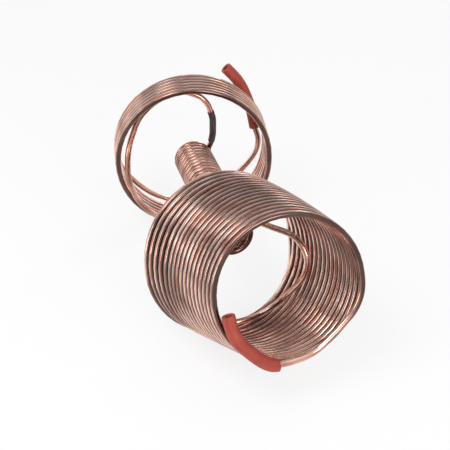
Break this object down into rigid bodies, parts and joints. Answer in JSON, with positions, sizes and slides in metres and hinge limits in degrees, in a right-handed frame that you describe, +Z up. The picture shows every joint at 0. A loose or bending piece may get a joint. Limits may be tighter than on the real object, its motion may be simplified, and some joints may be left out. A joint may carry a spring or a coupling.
{
  "type": "immersion wort chiller",
  "caption": "Immersion wort chiller of soft copper tube wound into a wide coil, a narrow coil and a ring coil in line, with a rubber hose pushed onto each end.",
  "frame": {"origin": "on the ground, on the flat that the ring coil stands on", "axes": "+Z up; -Y forward, from the ring coil along the narrow coil to the mouth of the wide coil; +X to the right"},
  "size_m": [0.2172, 0.3915, 0.1872],
  "materials": {
    "copper": "bright",
    "rubber": "matte",
    "splice": "satin"
  },
  "bodies": {
    "root": {"large_coil": "copper", "front_tube": "copper", "link_tube": "copper", "small_coil": "copper", "small_lead": "copper", "splice_sleeve": "splice", "ring_lead": "copper", "ring_coil": "copper", "tail_tube": "copper", "front_hose": "rubber", "back_hose": "rubber"}
  },
  "joints": []
}
